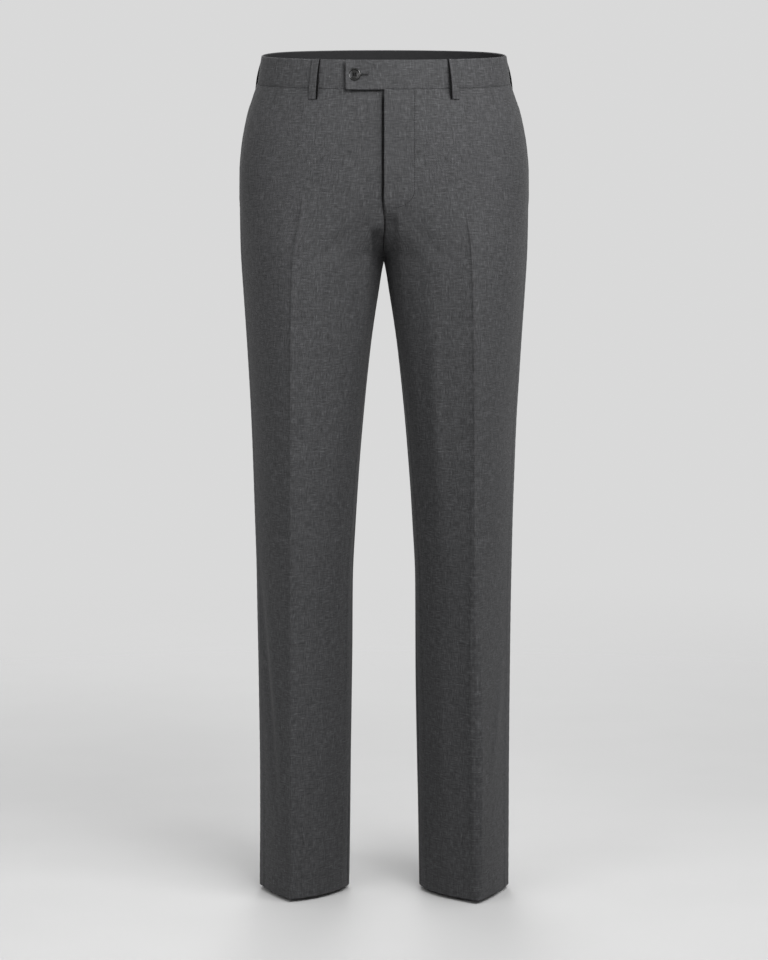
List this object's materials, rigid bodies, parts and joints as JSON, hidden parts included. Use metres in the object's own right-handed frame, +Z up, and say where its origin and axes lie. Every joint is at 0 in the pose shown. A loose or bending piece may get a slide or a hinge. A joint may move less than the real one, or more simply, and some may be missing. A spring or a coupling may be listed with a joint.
{
  "type": "dress trousers",
  "caption": "Flat-front straight-leg dress trousers, hollow and filled out, with pressed creases, a lapped waistband tab and belt loops.",
  "frame": {"origin": "middle of the waist opening, half way up the waistband at the side seams, where a waist holds the trousers up", "axes": "+Z up along the legs, the front faces -Y, +X towards the wearer's left"},
  "size_m": [0.3578, 0.2548, 1.0554],
  "materials": {
    "worsted": "mid grey melange worsted wool, fine plain weave, slightly lustrous",
    "band_facing": "charcoal cotton twill, matt",
    "button": "near black, polished, with a raised rim and a dished middle"
  },
  "bodies": {
    "root": {"front_left": "worsted", "front_right": "worsted", "back_left": "worsted", "back_right": "worsted", "waistband_left": "worsted", "waistband_right": "worsted", "fly_shield": "worsted", "belt_loop_front_left": "worsted", "belt_loop_front_right": "worsted", "belt_loop_side_left": "worsted", "belt_loop_side_right": "worsted", "belt_loop_back": "worsted", "band_facing_left": "band_facing", "band_facing_right": "band_facing", "waist_button": "button"}
  },
  "joints": []
}
